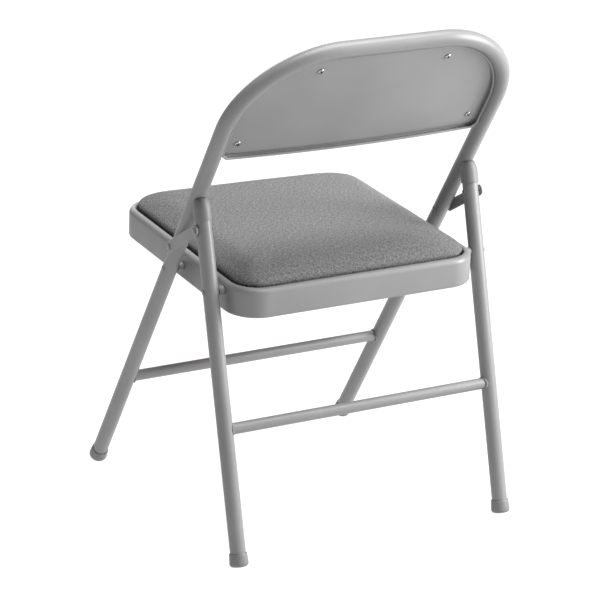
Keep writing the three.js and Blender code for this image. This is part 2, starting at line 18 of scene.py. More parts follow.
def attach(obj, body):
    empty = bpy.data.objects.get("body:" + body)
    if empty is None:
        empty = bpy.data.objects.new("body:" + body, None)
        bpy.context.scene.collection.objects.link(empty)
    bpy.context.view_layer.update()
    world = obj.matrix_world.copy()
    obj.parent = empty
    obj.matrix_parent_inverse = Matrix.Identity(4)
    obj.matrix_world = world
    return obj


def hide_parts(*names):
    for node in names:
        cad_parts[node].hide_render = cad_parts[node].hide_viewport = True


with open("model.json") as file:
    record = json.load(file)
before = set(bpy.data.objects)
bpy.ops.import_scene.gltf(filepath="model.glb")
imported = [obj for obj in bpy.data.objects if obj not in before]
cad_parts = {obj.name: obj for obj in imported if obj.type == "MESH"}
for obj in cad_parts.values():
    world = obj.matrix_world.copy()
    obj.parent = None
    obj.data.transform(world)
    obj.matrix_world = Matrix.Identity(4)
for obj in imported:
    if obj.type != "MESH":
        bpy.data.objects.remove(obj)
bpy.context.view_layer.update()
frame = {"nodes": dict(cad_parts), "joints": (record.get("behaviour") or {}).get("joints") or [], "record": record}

# ---- Places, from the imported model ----

MM = 0.001
joints = {j["name"]: Vector(j["pos_m"]) for j in frame["joints"]}
soles = {m["name"]: Vector(m["pos_m"]) for m in frame["record"]["mounts"]}
SIDES = (("left", 1), ("right", -1))

HALF_TRACK = soles["front_left_foot_sole"].x / MM
FRONT_SOLE_OFF_AXIS = 14.860  # along the floor, from where the tube's axis would meet it
REAR_SOLE_OFF_AXIS = 11.106
front_foot = Vector((0, soles["front_left_foot_sole"].y - FRONT_SOLE_OFF_AXIS * MM, 0))
rear_foot = Vector((0, soles["rear_left_foot_sole"].y + REAR_SOLE_OFF_AXIS * MM, 0))
seat_pivot = joints["seat_fold"]
leg_pivot = joints["rear_leg_fold"]
link_pivot = joints["left_link_turn"]

# ---- Dimensions, in millimetres ----

GAP = 0.3  # between pieces that touch
TUBE = 11.8  # radius
TUBE_WALL = 1.2
BRACE = 8.6
BRACE_WALL = 1.0
FRONT_TIP_BOTTOM = 7.24
REAR_TIP_BOTTOM = 1.38
TIP_FLOOR = 4.5
ARCH_START = 798.5
ARCH_RADIUS = 146
FRONT_BRACE_AT = 220
REAR_BRACE_AT = 203.5
REAR_LEG_TOP = 526
CAP_BOTTOM = 511
LINK_PIVOT_ON_FRAME = 544.5
LINK_PIVOT_ON_LEG = 497.5
SEAT_PIVOT_ON_FRAME = 493
TUBE_IN = HALF_TRACK - TUBE
TUBE_OUT = HALF_TRACK + TUBE

SEAT_TILT = -5  # degrees, front edge up
PAN_HALF = 204.5
PAN_FRONT = -230
PAN_REAR = 187.6
PAN_BOTTOM = -21.6
PAN_TOP = 23.8
PAN_CORNER = 50
PAN_SHEET = 1.2
RIM = 11
LEDGE = 5.8
LEDGE_INSET = 31
SEAT_BOARD_TOP = 12.1

PANEL_BOTTOM = 736.5
PANEL_SHEET = 1.2
PANEL_EDGE_Y = -3
PANEL_BOW = 5.5
PANEL_RIM = 5
PANEL_CHAMFER = 9
BACK_BOARD_FRONT = -6.5
BACK_PAD_INSET = 9
BACK_SCREWS = ((191, 764), (-191, 764), (103, 905), (-103, 905))
SEAT_SCREWS = ((184, -150), (-184, -150), (184, 110), (-184, 110))


def lean_of(start, end):
    """The angle about X that turns +Z along the way from start to end."""
    way = end - start
    return math.atan2(-way.y, way.z)


def placed(origin, angle):
    return Matrix.Translation(origin) @ Matrix.Rotation(angle, 4, "X")


BACK = placed(front_foot, lean_of(front_foot, seat_pivot))
REAR = placed(rear_foot, lean_of(rear_foot, leg_pivot))
SEAT = placed(seat_pivot, math.radians(SEAT_TILT))
link_end = REAR @ Vector((0, 0, LINK_PIVOT_ON_LEG * MM))
link_reach = link_end - link_pivot
LINK = placed(link_pivot, math.atan2(link_reach.z, link_reach.y))
LINK_LENGTH = link_reach.length / MM
LEG_PIVOT_IN_SEAT = (SEAT.inverted() @ leg_pivot) / MM

# ---- Materials ----


class Nodes:
    """A material's node tree, with short calls for the nodes used here."""

    def __init__(self, name):
        self.material = bpy.data.materials.new(name)
        self.material.use_nodes = True
        self.tree = self.material.node_tree
        self.shader = self.tree.nodes["Principled BSDF"]
        self.place = self.add("ShaderNodeTexCoord").outputs["Object"]

    def add(self, kind, inputs=None, **settings):
        node = self.tree.nodes.new(kind)
        for key, value in settings.items():
            setattr(node, key, value)
        for key, value in (inputs or {}).items():
            self.feed(node.inputs[key], value)
        return node

    def feed(self, socket, value):
        if isinstance(value, bpy.types.NodeSocket):
            self.tree.links.new(value, socket)
        else:
            socket.default_value = value

    def set(self, **values):
        for key, value in values.items():
            self.feed(self.shader.inputs[key.replace("_", " ")], value)

    def noise(self, scale, detail=2.0, vector=None, roughness=0.5):
        inputs = {"Vector": vector or self.place, "Scale": scale, "Detail": detail}
        inputs["Roughness"] = roughness
        return self.add("ShaderNodeTexNoise", inputs).outputs["Fac"]

    def math(self, operation, a, b=0.0, c=0.0):
        node = self.add("ShaderNodeMath", {0: a, 1: b, 2: c}, operation=operation)
        return node.outputs[0]

    def span(self, value, low, high, to_low=0.0, to_high=1.0):
        inputs = {"Value": value, "From Min": low, "From Max": high}
        inputs.update({"To Min": to_low, "To Max": to_high})
        return self.add("ShaderNodeMapRange", inputs).outputs["Result"]

    def mix(self, share, a, b):
        node = self.add("ShaderNodeMix", data_type="RGBA")
        for socket, value in ((0, share), (6, a), (7, b)):
            self.feed(node.inputs[socket], value)
        return node.outputs[2]

    def bump(self, height, distance, strength=1.0):
        inputs = {"Height": height, "Distance": distance, "Strength": strength}
        normal = self.add("ShaderNodeBump", inputs).outputs["Normal"]
        self.set(Normal=normal)


def grey(value):
    """A neutral linear colour from its 0-255 display value."""
    share = value / 255
    linear = ((share + 0.055) / 1.055) ** 2.4
    return (linear, linear, linear, 1.0)


def paint_material(name, shade, roughness, grain):
    """Smooth enamel: a trace of orange peel, and slow drifts of tone and gloss."""
    m = Nodes(name)
    drift = m.noise(9.0, 3.0)
    speck = m.noise(420.0, 2.0)
    light = m.mix(m.span(drift, 0.35, 0.65), grey(shade - 3), grey(shade + 3))
    dusty = m.span(speck, 0.2, 0.8, 0.0, 0.10)
    m.set(Base_Color=m.mix(dusty, light, grey(shade - 22)))
    m.set(Roughness=m.span(m.noise(30.0, 3.0), 0.3, 0.7, roughness - 0.04, roughness + 0.05))
    m.set(Specular_IOR_Level=0.5)
    m.bump(m.noise(grain, 2.0), 0.00006)
    return m.material


YARN_PITCH = 1.25  # millimetres


def fabric_material():
    """A plain weave of heathered yarn, with painted shade between the yarns, laid out by the mesh's own cloth
    coordinates.
    """
    m = Nodes("heathered_fabric")
    cloth = m.add("ShaderNodeAttribute", attribute_name="cloth").outputs["Vector"]
    wander = m.add("ShaderNodeTexNoise", {"Vector": cloth, "Scale": 0.11, "Detail": 2.0})
    moved = m.add(
        "ShaderNodeVectorMath",
        {0: wander.outputs["Color"], 1: (1.6, 1.6, 0.0)},
        operation="MULTIPLY",
    )
    at = m.add(
        "ShaderNodeVectorMath", {0: cloth, 1: moved.outputs[0]}, operation="ADD"
    ).outputs[0]
    parts = m.add("ShaderNodeSeparateXYZ", {"Vector": at})
    across = m.math("DIVIDE", parts.outputs["X"], YARN_PITCH)
    along = m.math("DIVIDE", parts.outputs["Y"], YARN_PITCH)
    round_warp = m.math("ABSOLUTE", m.math("SINE", m.math("MULTIPLY", across, math.pi)))
    round_weft = m.math("ABSOLUTE", m.math("SINE", m.math("MULTIPLY", along, math.pi)))
    scaled = m.add("ShaderNodeCombineXYZ", {"X": across, "Y": along, "Z": 0.5})
    over = m.add(
        "ShaderNodeTexChecker", {"Vector": scaled.outputs[0], "Scale": 1.0}
    ).outputs["Fac"]
    under = m.math("SUBTRACT", 1.0, over)

    def woven(warp, weft):
        return m.math("ADD", m.math("MULTIPLY", over, warp), m.math("MULTIPLY", under, weft))

    weave = woven(round_warp, round_weft)

    def yarn(stretch, seed):
        mapping = m.add("ShaderNodeMapping", {"Vector": at, "Scale": stretch, "Location": seed})
        return m.noise(1.0, 3.0, mapping.outputs[0], 0.7)

    fleck = woven(
        yarn((0.55, 0.2, 1.0), (3.0, 11.0, 0.0)),
        yarn((0.2, 0.55, 1.0), (31.0, 7.0, 5.0)),
    )
    blotch = m.noise(0.35, 4.0, at, 0.65)
    shade = m.mix(m.span(fleck, 0.41, 0.59), grey(66), grey(144))
    shade = m.mix(m.span(blotch, 0.38, 0.62, 0.0, 0.4), shade, grey(120))
    # Painted shade: the colour darkens towards grey 44 in the low hollows of the weave, between the yarns.
    painted_shade_mask = m.span(weave, 0.0, 0.7, 0.4, 0.0)
    m.set(Base_Color=m.mix(painted_shade_mask, shade, grey(44)))
    m.set(Roughness=0.92)
    m.set(Specular_IOR_Level=0.2)
    m.set(Sheen_Weight=0.12)
    m.set(Sheen_Roughness=0.5)
    fuzz = m.math("MULTIPLY", m.noise(2.6, 3.0, at, 0.7), 0.6)
    m.bump(m.math("ADD", weave, fuzz), 0.00035, 0.9)
    return m.material


def metal_material(name, shade, roughness):
    m = Nodes(name)
    stain = m.noise(700.0, 4.0)
    m.set(Base_Color=m.mix(m.span(stain, 0.3, 0.7), grey(shade - 14), grey(shade)))
    m.set(Metallic=1.0)
    m.set(Roughness=m.span(stain, 0.3, 0.7, roughness, roughness + 0.12))
    m.bump(m.noise(2600.0, 2.0), 0.00003)
    return m.material


def board_material():
    """Pressed hardboard: brown fibres with darker flecks."""
    m = Nodes("hardboard")
    mapping = m.add("ShaderNodeMapping", {"Vector": m.place, "Scale": (1.0, 0.35, 1.0)})
    fibre = m.noise(520.0, 5.0, mapping.outputs[0], 0.7)
    cloud = m.noise(14.0, 3.0)
    pale, dark = (0.24, 0.15, 0.085, 1.0), (0.10, 0.058, 0.032, 1.0)
    tone = m.mix(m.span(fibre, 0.32, 0.68), dark, pale)
    m.set(Base_Color=m.mix(m.span(cloud, 0.3, 0.7, 0.0, 0.35), tone, (0.17, 0.11, 0.065, 1.0)))
    m.set(Roughness=0.82)
    m.bump(fibre, 0.0002)
    return m.material


def floor_material():
    m = Nodes("pale_floor")
    tone = m.noise(1.3, 3.0)
    m.set(Base_Color=m.mix(tone, (0.11, 0.11, 0.11, 1.0), (0.13, 0.13, 0.13, 1.0)))
    m.set(Roughness=0.9)
    m.set(Emission_Color=(1.0, 1.0, 1.0, 1.0))
    m.set(Emission_Strength=0.98)
    return m.material


PAINT = paint_material("grey_enamel", 128, 0.4, 900.0)
PLASTIC = paint_material("grey_moulding", 118, 0.48, 1900.0)
FABRIC = fabric_material()
ZINC = metal_material("zinc_plate", 180, 0.2)
# Near-black metal for the screws' cross recesses: painted shade inside the recess.
RECESS_PAINTED_SHADE = metal_material("screw_recess_painted_shade", 34, 0.5)
BOARD = board_material()

# ---- Mesh helpers ----

ARC = 28  # steps in a quarter of an outline's corner
TURN = 48  # facets of a tube
SHARP = math.radians(34)
WELD_REACH = 2e-6  # metres


def make(name, points, faces, place, material, body, slot, replaces=()):
    """A piece from points in millimetres in a local frame."""
    mesh = bpy.data.meshes.new(name)
    mesh.from_pydata((np.asarray(points, float) * MM).tolist(), [], faces)
    obj = bpy.data.objects.new(name, mesh)
    bpy.context.scene.collection.objects.link(obj)
    obj.matrix_world = place
    mesh.materials.append(material)
    clean(mesh)
    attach(obj, body)
    if replaces:
        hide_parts(*replaces)
    return obj


def clean(mesh):
    """Joins doubled points, turns the faces outwards and keeps sharp edges sharp."""
    bm = bmesh.new()
    bm.from_mesh(mesh)
    bmesh.ops.remove_doubles(bm, verts=bm.verts, dist=WELD_REACH)
    bmesh.ops.dissolve_degenerate(bm, edges=bm.edges, dist=WELD_REACH)
    bmesh.ops.recalc_face_normals(bm, faces=bm.faces)
    for face in bm.faces:
        face.smooth = True
    for edge in bm.edges:
        edge.smooth = edge.calc_face_angle(0.0) < SHARP
    bm.to_mesh(mesh)
    bm.free()


def loft(rings, wrap=False, first=None, last=None):
    """Points and faces through rings of equal length. first and last close an end to a point."""
    rings = np.asarray(rings, float)
    count, size = rings.shape[:2]
    points = rings.reshape(-1, 3).tolist()
    faces = []
    rows = count if wrap else count - 1
    for r in range(rows):
        a, b = r * size, (r + 1) % count * size
        for c in range(size):
            d = (c + 1) % size
            faces.append((a + c, a + d, b + d, b + c))
    for end, row in ((first, 0), (last, count - 1)):
        if end is None:
            continue
        tip = len(points)
        points.append(list(end))
        for c in range(size):
            faces.append((row * size + c, row * size + (c + 1) % size, tip))
    return points, faces


def fillet(corners, steps=5):
    """A line through (x, y, radius) corners, each rounded by its radius."""
    out = []
    for i, (x, y, radius) in enumerate(corners):
        here = Vector((x, y))
        if radius <= 0 or i in (0, len(corners) - 1):
            out.append((x, y))
            continue
        back = (Vector(corners[i - 1][:2]) - here).normalized()
        ahead = (Vector(corners[i + 1][:2]) - here).normalized()
        half = back.angle(ahead) / 2
        trim = radius / math.tan(half)
        centre = here + (back + ahead).normalized() * radius / math.sin(half)
        start, end = here + back * trim - centre, here + ahead * trim - centre
        turn = start.angle_signed(end)
        for k in range(steps + 1):
            spot = Matrix.Rotation(-turn * k / steps, 2) @ start + centre
            out.append((spot.x, spot.y))
    return out


def revolve(profile, turn=TURN, axis="Z", at=(0, 0, 0), side=1):
    """A lathed solid of (radius, height) pairs; along X its heights run outwards on one side."""
    rings = []
    for radius, height in profile:
        ring = []
        for k in range(turn):
            angle = 2 * math.pi * k / turn
            u, v = radius * math.cos(angle), radius * math.sin(angle)
            ring.append((u, v, height) if axis == "Z" else (side * height, u, v))
        rings.append(ring)
    points, faces = loft(rings)
    return np.asarray(points) + np.asarray(at, float), faces


def tube_along(stations, radius, wall, turn=TURN):
    """An open-ended tube through (point, tangent) stations in the plane y = 0."""
    rings = []
    for reach in (radius, radius - wall):
        rows = []
        for (x, y, z), (tx, tz) in stations:
            row = []
            for k in range(turn):
                angle = 2 * math.pi * k / turn
                out, up = reach * math.cos(angle), reach * math.sin(angle)
                row.append((x + tz * out, y + up, z - tx * out))
            rows.append(row)
        rings += rows if reach == radius else rows[::-1]
    return loft(rings, wrap=True)


def boolean(obj, tool):
    """Cuts obj with tool, which is removed."""
    modifier = obj.modifiers.new("cut", "BOOLEAN")
    modifier.operation = "DIFFERENCE"
    modifier.object = tool
    modifier.solver = "EXACT"
    bpy.context.view_layer.update()
    bake(obj)
    bpy.data.objects.remove(tool)
    clean(obj.data)


def bake(obj):
    """Applies every modifier."""
    graph = bpy.context.evaluated_depsgraph_get()
    mesh = bpy.data.meshes.new_from_object(obj.evaluated_get(graph))
    obj.modifiers.clear()
    old = obj.data
    obj.data = mesh
    bpy.data.meshes.remove(old)


def tool(points, faces, place):
    mesh = bpy.data.meshes.new("tool")
    mesh.from_pydata((np.asarray(points, float) * MM).tolist(), [], faces)
    obj = bpy.data.objects.new("tool", mesh)
    bpy.context.scene.collection.objects.link(obj)
    obj.matrix_world = place
    clean(mesh)
    return obj


def slab(low, high, place):
    """A box tool between two corners in a local frame."""
    (x0, y0, z0), (x1, y1, z1) = low, high
    rings = [
        [(x0, y0, z), (x1, y0, z), (x1, y1, z), (x0, y1, z)]
        for z in (z0, z1)
    ]
    points, faces = loft(rings)
    return tool(points, [*faces, (0, 1, 2, 3), (4, 5, 6, 7)], place)


def rod(radius, low, high, at, place, turn=64):
    """A cylinder tool along Z."""
    profile = [(0.0, low), (radius, low), (radius, high), (0.0, high)]
    return tool(*revolve(profile, turn, at=at), place)


# ---- Outlines ----


def seat_outline(inset, rounder=0.0):
    """The seat's rounded outline, a distance inside the pan's outside, as (x, y) points."""
    radius = PAN_CORNER - inset + rounder
    middle = (PAN_REAR + PAN_FRONT) / 2
    x = PAN_HALF - PAN_CORNER - rounder
    y = (PAN_REAR - PAN_FRONT) / 2 - PAN_CORNER - rounder
    points = []
    for quarter, (sx, sy) in enumerate(((1, 1), (-1, 1), (-1, -1), (1, -1))):
        for k in range(ARC + 1):
            angle = math.pi / 2 * (quarter + k / ARC)
            points.append((
                sx * x + radius * math.cos(angle),
                middle + sy * y + radius * math.sin(angle),
            ))
    return np.array(points)


def back_outline(inset):
    """The backrest's outline, a distance inside the arch's inner face, as (x, z) points."""
    clear = TUBE + GAP + inset
    radius = ARCH_RADIUS - clear
    arc_x, half = HALF_TRACK - ARCH_RADIUS, HALF_TRACK - clear
    bottom = PANEL_BOTTOM + inset
    cut, slope = PANEL_CHAMFER, math.tan(math.pi / 8) * inset
    right = [(half - cut + inset - slope, bottom), (half, bottom + cut - inset + slope)]
    right += [(half, bottom + share * (ARCH_START - bottom)) for share in (0.3, 0.6, 0.85)]
    for k in range(ARC + 1):
        angle = math.pi / 2 * k / ARC
        right.append((arc_x + radius * math.cos(angle), ARCH_START + radius * math.sin(angle)))
    top = [(arc_x * share, ARCH_START + radius) for share in (0.66, 0.33)]
    centre = [(0.0, ARCH_START + radius)]
    foot = [(half * share, bottom) for share in (0.0, 0.2, 0.4, 0.6, 0.8)]
    half_loop = foot[1:] + right + top
    mirrored = [(-x, z) for x, z in reversed(half_loop)]
    return np.array([foot[0], *half_loop, *centre, *mirrored])


def panel_y(x):
    """How far the panel's rear face stands behind the back frame's plane."""
    return PANEL_EDGE_Y + PANEL_BOW * (1 - (x / TUBE_IN) ** 2)


def shrunk(outline, share):
    """The outline drawn in towards its middle."""
    middle = (outline.min(0) + outline.max(0)) / 2
    return middle + (outline - middle) * share


# ---- Tubes and braces ----


def straight(side, low, high):
    x = side * HALF_TRACK
    return [((x, 0, low), (0, 1)), ((x, 0, high), (0, 1))]


def arch_stations():
    low = FRONT_TIP_BOTTOM + TIP_FLOOR
    stations = straight(1, low, 600)
    arc_x = HALF_TRACK - ARCH_RADIUS
    for centre, start in ((arc_x, 0), (-arc_x, math.pi / 2)):
        for k in range(ARC + 1):
            angle = start + math.pi / 2 * k / ARC
            x, z = math.cos(angle), math.sin(angle)
            spot = (centre + ARCH_RADIUS * x, 0, ARCH_START + ARCH_RADIUS * z)
            stations.append((spot, (-z, x)))
    return stations + [((-HALF_TRACK, 0, z), (0, -1)) for z in (600, low)]


make(
    "back_frame_tube", *tube_along(arch_stations(), TUBE, TUBE_WALL),
    BACK, PAINT, "frame", "paint", ["front_frame"],
)
for label, side in SIDES:
    stations = straight(side, REAR_TIP_BOTTOM + TIP_FLOOR, REAR_LEG_TOP)
    make(
        "rear_tube_" + label, *tube_along(stations, TUBE, TUBE_WALL),
        REAR, PAINT, "rear_legs", "paint", ["rear_leg_" + label],
    )


def saddle_x(y):
    """Where a leg's inner face is, at a distance y from its axis plane."""
    return HALF_TRACK - math.sqrt(max((TUBE + 0.2) ** 2 - y * y, 0))


def brace(name, height, place, body, node):
    rings = []
    for reach in (BRACE, BRACE - BRACE_WALL):
        rows = []
        for share in (1, 0.96, 0.5, 0, -0.5, -0.96, -1):
            row = []
            for k in range(TURN):
                angle = 2 * math.pi * k / TURN
                y, z = reach * math.cos(angle), reach * math.sin(angle)
                row.append((share * saddle_x(y), y, height + z))
            rows.append(row)
        rings += rows if reach == BRACE else rows[::-1]
    make(name, *loft(rings, wrap=True), place, PAINT, body, "paint", [node])
    for label, side in SIDES:
        for face, start in (("rear", 0), ("front", math.pi)):
            weld("{}_weld_{}_{}".format(name, label, face), side, start, height, place, body)


def weld(name, side, start, height, place, body):
    """A short lumpy bead along the joint of a brace and its leg."""
    rings, steps, turn = [], 34, 12
    reach = math.radians(66)
    for k in range(steps + 1):
        share = 2 * k / steps - 1
        angle = start + share * reach
        swell = math.sqrt(max(1 - share * share, 0)) ** 0.6
        ripple = 0.22 * math.sin(k * 1.55 + height) + 0.2 * noise.noise((k * 0.45, height, side))
        thick = max(1.75 * swell * (1 + ripple), 0.05)
        y, z = (BRACE + 0.5) * math.cos(angle), (BRACE + 0.5) * math.sin(angle)
        centre = np.array((side * (saddle_x(y) - 0.3), y, height + z))
        out = np.array((0, math.cos(angle), math.sin(angle)))
        ring = []
        inward = np.array((-side, 0, 0))
        for j in range(turn):
            a = 2 * math.pi * j / turn
            ring.append(centre + thick * (math.cos(a) * out + math.sin(a) * inward))
        rings.append(ring)
    points, faces = loft(rings, first=np.mean(rings[0], 0), last=np.mean(rings[-1], 0))
    make(name, points, faces, place, PAINT, body, "paint")


brace("front_brace_tube", FRONT_BRACE_AT, BACK, "frame", "front_brace")
brace("rear_brace_tube", REAR_BRACE_AT, REAR, "rear_legs", "rear_brace")

# ---- Foot tips and caps ----

# The tip's outside and its socket, as (radius, height above its bottom).
TIP_PROFILE = [
    (0.0, 0.0), (10.2, 0.0), (11.6, 0.26), (12.8, 0.95), (13.7, 2.1), (14.15, 3.5), (14.25, 5.0),
    (14.05, 8.5), (13.65, 14.0), (13.3, 18.2), (13.1, 19.2), (12.75, 19.75), (12.4, 19.7),
    (12.15, 19.2), (12.1, 18.0), (12.1, TIP_FLOOR - GAP), (0.0, TIP_FLOOR - GAP),
]


def bevelled(obj, width, angle):
    """Rounds every edge sharper than an angle in degrees."""
    modifier = obj.modifiers.new("round", "BEVEL")
    modifier.width = width * MM
    modifier.segments = 3
    modifier.limit_method = "ANGLE"
    modifier.angle_limit = math.radians(angle)
    modifier.harden_normals = False
    bake(obj)
    clean(obj.data)


def foot(name, side, place, body, node, bottom):
    """A moulded tip, worn flat where its rounded edge stands on the floor."""
    at = (side * HALF_TRACK, 0, bottom)
    obj = make(name, *revolve(TIP_PROFILE, 64, at=at), place, PLASTIC, body, "plastic", [node])
    ground = Matrix.Translation(place.translation)
    x = side * HALF_TRACK
    boolean(obj, slab((x - 60, -60, -60), (x + 60, 60, 0), ground))


for label, side in SIDES:
    foot("front_tip_" + label, side, BACK, "frame", "front_foot_" + label, FRONT_TIP_BOTTOM)
    foot("rear_tip_" + label, side, REAR, "rear_legs", "rear_foot_" + label, REAR_TIP_BOTTOM)

# The cap's socket and outside, as (radius, height above its bottom).
CAP_SOCKET_TOP = REAR_LEG_TOP + GAP - CAP_BOTTOM
CAP_PROFILE = [
    (0.0, CAP_SOCKET_TOP), (12.1, CAP_SOCKET_TOP), (12.1, 0.2), (12.6, -0.2),
    (12.95, 0.0), (13.1, 0.6), (13.1, 4.0), (13.15, 9.0), (13.1, 15.0), (12.8, 19.6),
    (12.2, 23.2), (11.4, 26.1), (10.5, 28.7), (9.7, 30.5), (8.9, 31.8), (7.9, 32.6),
    (6.6, 33.0), (0.0, 33.1),
]


def cap(label, side):
    """A moulded cap over a rear leg, hollowed in front where it rests on the back frame."""
    at = (side * HALF_TRACK, 0, CAP_BOTTOM)
    obj = make(
        "rear_cap_" + label, *revolve(CAP_PROFILE, 64, at=at),
        REAR, PLASTIC, "rear_legs", "plastic", ["rear_leg_cap_" + label],
    )
    boolean(obj, rod(TUBE + 0.45, 450, 850, (side * HALF_TRACK, 0, 0), BACK, 96))
    x = side * HALF_TRACK
    boolean(obj, slab((x - 40, -60, 450), (x + 40, 2.2, 850), BACK))
    bevelled(obj, 0.7, 32)


for label, side in SIDES:
    cap(label, side)

# ---- Rivets, spacers and links ----

LINK_SHEET = 2.2
LINK_IN = TUBE_OUT + 2.2
LINK_OUT = LINK_IN + LINK_SHEET
LINK_HALF = 8.4
SHANK = 3.2  # radius
HEAD = [(4.9, 0.0), (4.95, 0.4), (4.6, 0.9), (3.7, 1.3), (2.2, 1.52), (0.0, 1.6)]
LOW_HEAD = [(4.0, 0.0), (4.0, 0.25), (3.6, 0.6), (2.8, 0.85), (1.5, 0.98), (0.0, 1.0)]
TAIL = [
    (0.0, -1.0), (1.5, -1.0), (1.6, 0.6), (2.0, 1.15), (2.8, 1.3), (3.8, 1.05), (4.4, 0.4),
    (4.4, 0.0),
]


def rivet(name, side, low, high, at, place, body, nodes, head=HEAD, tail=True):
    """A rivet between two distances from the middle plane, rolled over at its inner end."""
    inner = [(r, low - GAP - h) for r, h in TAIL] if tail else [(0.0, low)]
    outer = [(r, high + GAP + h) for r, h in head] if head else [(SHANK, high), (0.0, high)]
    shank = [(SHANK, low - GAP if tail else low)] + ([(SHANK, high + GAP)] if head else [])
    points, faces = revolve(inner + shank + outer, 32, "X", (0, *at), side)
    return make(name, points, faces, place, PAINT, body, "paint", nodes)


def collar(name, side, low, high, at, place, body, node):
    """A ring round a rivet: a spacer or a washer."""
    reach, edge = 6.5, 0.35
    profile = [
        (3.5, low), (reach - edge, low), (reach, low + edge), (reach, high - edge),
        (reach - edge, high), (3.5, high), (3.5, low),
    ]
    points, faces = revolve(profile, 32, "X", (0, *at), side)
    make(name, points, faces, place, PAINT, body, "paint", [node])


def link(label, side):
    """A flat bar with round ends and softened edges."""
    turn, half = 20, LINK_HALF
    rim = []
    for centre, start in ((0, 90), (LINK_LENGTH, -90)):
        for k in range(turn + 1):
            angle = math.radians(start + 180 * k / turn)
            rim.append((centre, math.cos(angle), math.sin(angle)))
    rings = []
    edge = 0.5
    for reach, x in (
        (half - edge, LINK_IN), (half, LINK_IN + edge),
        (half, LINK_OUT - edge), (half - edge, LINK_OUT),
    ):
        rings.append([(side * x, c + reach * u, reach * v) for c, u, v in rim])
    points, faces = loft(rings)
    size = len(rim)
    faces += [tuple(range(size)), tuple(range(3 * size, 4 * size))]
    body = label + "_link"
    make("link_plate_" + label, points, faces, LINK, PAINT, body, "paint", ["link_" + label])


for label, side in SIDES:
    link(label, side)
    body = label + "_link"
    pan_in, gap = PAN_HALF - 1.5, (PAN_HALF + GAP, TUBE_IN - GAP)
    washer = (TUBE_OUT + GAP, TUBE_OUT + 1.9)
    in_seat = (LEG_PIVOT_IN_SEAT.y, LEG_PIVOT_IN_SEAT.z)
    rivet("front_pivot_" + label, side, pan_in, TUBE_OUT, (0, SEAT_PIVOT_ON_FRAME),
          BACK, "frame", ["seat_front_rivet_" + label], LOW_HEAD)
    rivet("rear_pivot_" + label, side, pan_in, TUBE_OUT, in_seat,
          SEAT, "seat", ["seat_rear_rivet_" + label], LOW_HEAD)
    rivet("link_pivot_" + label, side, TUBE_IN, LINK_OUT, (0, LINK_PIVOT_ON_FRAME),
          BACK, "frame", ["link_front_rivet_" + label])
    rivet("link_end_" + label, side, TUBE_OUT + GAP, LINK_OUT, (LINK_LENGTH, 0),
          LINK, body, ["link_rear_rivet_head_" + label], tail=False)
    rivet("link_tail_" + label, side, TUBE_IN, TUBE_OUT, (0, LINK_PIVOT_ON_LEG),
          REAR, "rear_legs", ["link_rear_rivet_tail_" + label], None)
    collar("front_spacer_" + label, side, *gap, (0, SEAT_PIVOT_ON_FRAME),
           BACK, "frame", "seat_front_spacer_" + label)
    collar("rear_spacer_" + label, side, *gap, in_seat,
           SEAT, "seat", "seat_rear_spacer_" + label)
    collar("front_washer_" + label, side, *washer, (0, LINK_PIVOT_ON_FRAME),
           BACK, "frame", "link_front_washer_" + label)
    collar("rear_washer_" + label, side, *washer, (LINK_LENGTH, 0),
           LINK, body, "link_rear_washer_" + label)

# ---- Seat pan ----


def pan_section():
    """The pan's folded sheet, as (inset, height) points round its cross-section."""
    t = PAN_SHEET
    outer = fillet([
        (7.0, PAN_BOTTOM, 0), (0.0, PAN_BOTTOM, 4.2), (0.0, PAN_TOP, 8.4), (RIM, PAN_TOP, 2.4),
        (RIM, LEDGE, 1.2), (LEDGE_INSET, LEDGE, 0),
    ], 8)
    inner = fillet([
        (LEDGE_INSET, LEDGE - t, 0), (RIM - t, LEDGE - t, 2.4), (RIM - t, PAN_TOP - t, 1.2),
        (t, PAN_TOP - t, 7.2), (t, PAN_BOTTOM + t, 3.0), (7.0, PAN_BOTTOM + t, 0),
    ], 8)
    return outer + inner


def on_seat(inset, height):
    return [(x, y, height) for x, y in seat_outline(inset)]


make(
    "seat_tray", *loft([on_seat(i, z) for i, z in pan_section()], wrap=True),
    SEAT, PAINT, "seat", "paint", ["seat_pan"],
)

# ---- Backrest panel ----


def panel_outline(inset):
    """The panel's outline. It is pressed against the tube at its sides and top."""
    outline = back_outline(inset - 0.9)
    outline[:, 1] = np.maximum(outline[:, 1], PANEL_BOTTOM + inset)
    return outline


def on_back(inset, behind, share=1.0):
    outline = panel_outline(inset)
    if share < 1:
        outline = shrunk(outline, share)
    return [(x, panel_y(x) + behind, z) for x, z in outline]


def eased(value, low, high):
    share = min(max((value - low) / (high - low), 0), 1)
    return share * share * (3 - 2 * share)


def flanged(inset, reach):
    """A ring of the turned-back flange and its rolled hem, lower along the top."""
    ring = []
    for x, z in panel_outline(inset):
        depth = PANEL_RIM - 0.6 * eased(z, PANEL_BOTTOM + 8, PANEL_BOTTOM + 20)
        depth -= 1.9 * eased(z, ARCH_START, ARCH_START + 80)
        roll = min(depth / 3, 1) * (reach - 1)
        ring.append((x, panel_y(x) + (depth * reach if reach <= 1 else depth + roll), z))
    return ring


def creased(inset, behind, depth):
    """A ring of the crease that runs along the panel's bottom edge only."""
    ring = []
    for x, z in panel_outline(inset):
        fade = 1 - eased(z, PANEL_BOTTOM + 12, PANEL_BOTTOM + 24)
        ring.append((x, panel_y(x) + behind - depth * fade, z))
    return ring


